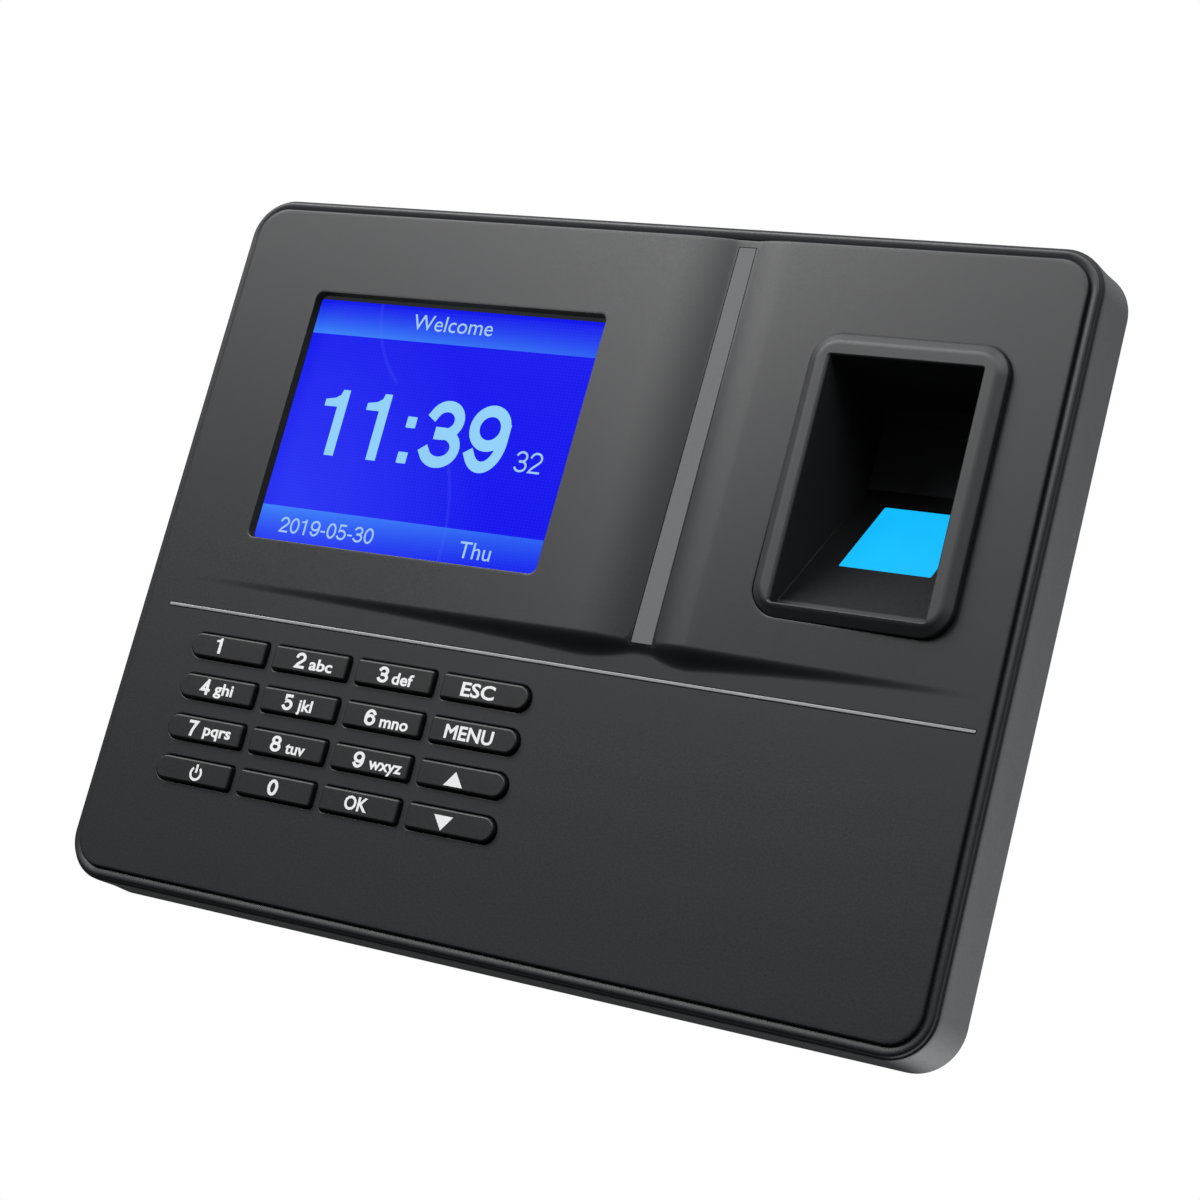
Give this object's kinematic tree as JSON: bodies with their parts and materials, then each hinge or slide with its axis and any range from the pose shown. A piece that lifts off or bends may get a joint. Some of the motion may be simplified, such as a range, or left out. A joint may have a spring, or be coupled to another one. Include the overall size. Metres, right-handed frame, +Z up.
{
  "type": "fingerprint scanner terminal",
  "caption": "Wall-mounted fingerprint terminal with a sculpted black front, lit display, sprung keypad, raised finger pocket with a sensor window, and a steel wall bracket.",
  "frame": {"origin": "centre of the wall bracket's back face, on the wall", "axes": "+X to the right seen from the front, +Y into the wall, +Z up; the front faces -Y"},
  "size_m": [0.183, 0.0324, 0.1404],
  "materials": {
    "casing": "fine moulded texture, satin charcoal ABS",
    "pocket": "satin black ABS",
    "keys": "satin black cap with white printed legend",
    "stripe": "flat grey painted strip",
    "silver": "brushed silver line",
    "sensor_glass": "evenly lit cyan optical window",
    "display": "lit blue colour display",
    "black_resin": "moulded black",
    "clear_lens": "polished clear",
    "white_plastic": "diffusing white",
    "circuit_board": "green solder mask",
    "ribbon": "amber polyimide film",
    "silicone": "grey silicone rubber",
    "zinc": "bright zinc plate",
    "bracket_steel": "galvanised sheet steel"
  },
  "bodies": {
    "casing": {"front_housing": "casing", "front_panel": "casing", "rear_cover": "casing", "finger_guide": "pocket", "stripe_inlay": "stripe", "divider_trim": "silver", "sensor_window": "sensor_glass", "sensor_housing": "black_resin", "sensor_lens": "clear_lens", "sensor_board": "circuit_board", "sensor_light": "white_plastic", "lcd_glass": "display", "lcd_backlight": "white_plastic", "lcd_ribbon": "ribbon", "keypad_mat": "silicone", "keypad_board": "circuit_board", "keypad_connector": "black_resin", "main_board": "circuit_board", "processor_chip": "black_resin", "memory_chip": "black_resin", "coin_cell_holder": "black_resin", "coin_cell": "zinc", "usb_port": "zinc", "power_jack": "black_resin", "speaker": "black_resin", "wall_bracket": "bracket_steel", "bracket_screw": "zinc", "rear_screw_1": "zinc", "board_screw_1": "zinc", "keypad_screw_1": "zinc", "rear_screw_2": "zinc", "board_screw_2": "zinc", "keypad_screw_2": "zinc", "rear_screw_3": "zinc", "board_screw_3": "zinc", "keypad_screw_3": "zinc", "rear_screw_4": "zinc", "board_screw_4": "zinc", "keypad_screw_4": "zinc"},
    "key_1_body": {"key_1": "keys"},
    "key_2_body": {"key_2": "keys"},
    "key_3_body": {"key_3": "keys"},
    "key_esc_body": {"key_esc": "keys"},
    "key_4_body": {"key_4": "keys"},
    "key_5_body": {"key_5": "keys"},
    "key_6_body": {"key_6": "keys"},
    "key_menu_body": {"key_menu": "keys"},
    "key_7_body": {"key_7": "keys"},
    "key_8_body": {"key_8": "keys"},
    "key_9_body": {"key_9": "keys"},
    "key_up_body": {"key_up": "keys"},
    "key_power_body": {"key_power": "keys"},
    "key_0_body": {"key_0": "keys"},
    "key_ok_body": {"key_ok": "keys"},
    "key_down_body": {"key_down": "keys"}
  },
  "joints": [
    {"name": "key_1_press", "type": "slide", "parent": "casing", "child": "key_1_body", "axis": [0, 1, 0], "range_m": [0, 0.001], "stiffness_N_per_m": 600},
    {"name": "key_2_press", "type": "slide", "parent": "casing", "child": "key_2_body", "axis": [0, 1, 0], "range_m": [0, 0.001], "stiffness_N_per_m": 600},
    {"name": "key_3_press", "type": "slide", "parent": "casing", "child": "key_3_body", "axis": [0, 1, 0], "range_m": [0, 0.001], "stiffness_N_per_m": 600},
    {"name": "key_esc_press", "type": "slide", "parent": "casing", "child": "key_esc_body", "axis": [0, 1, 0], "range_m": [0, 0.001], "stiffness_N_per_m": 600},
    {"name": "key_4_press", "type": "slide", "parent": "casing", "child": "key_4_body", "axis": [0, 1, 0], "range_m": [0, 0.001], "stiffness_N_per_m": 600},
    {"name": "key_5_press", "type": "slide", "parent": "casing", "child": "key_5_body", "axis": [0, 1, 0], "range_m": [0, 0.001], "stiffness_N_per_m": 600},
    {"name": "key_6_press", "type": "slide", "parent": "casing", "child": "key_6_body", "axis": [0, 1, 0], "range_m": [0, 0.001], "stiffness_N_per_m": 600},
    {"name": "key_menu_press", "type": "slide", "parent": "casing", "child": "key_menu_body", "axis": [0, 1, 0], "range_m": [0, 0.001], "stiffness_N_per_m": 600},
    {"name": "key_7_press", "type": "slide", "parent": "casing", "child": "key_7_body", "axis": [0, 1, 0], "range_m": [0, 0.001], "stiffness_N_per_m": 600},
    {"name": "key_8_press", "type": "slide", "parent": "casing", "child": "key_8_body", "axis": [0, 1, 0], "range_m": [0, 0.001], "stiffness_N_per_m": 600},
    {"name": "key_9_press", "type": "slide", "parent": "casing", "child": "key_9_body", "axis": [0, 1, 0], "range_m": [0, 0.001], "stiffness_N_per_m": 600},
    {"name": "key_up_press", "type": "slide", "parent": "casing", "child": "key_up_body", "axis": [0, 1, 0], "range_m": [0, 0.001], "stiffness_N_per_m": 600},
    {"name": "key_power_press", "type": "slide", "parent": "casing", "child": "key_power_body", "axis": [0, 1, 0], "range_m": [0, 0.001], "stiffness_N_per_m": 600},
    {"name": "key_0_press", "type": "slide", "parent": "casing", "child": "key_0_body", "axis": [0, 1, 0], "range_m": [0, 0.001], "stiffness_N_per_m": 600},
    {"name": "key_ok_press", "type": "slide", "parent": "casing", "child": "key_ok_body", "axis": [0, 1, 0], "range_m": [0, 0.001], "stiffness_N_per_m": 600},
    {"name": "key_down_press", "type": "slide", "parent": "casing", "child": "key_down_body", "axis": [0, 1, 0], "range_m": [0, 0.001], "stiffness_N_per_m": 600}
  ]
}
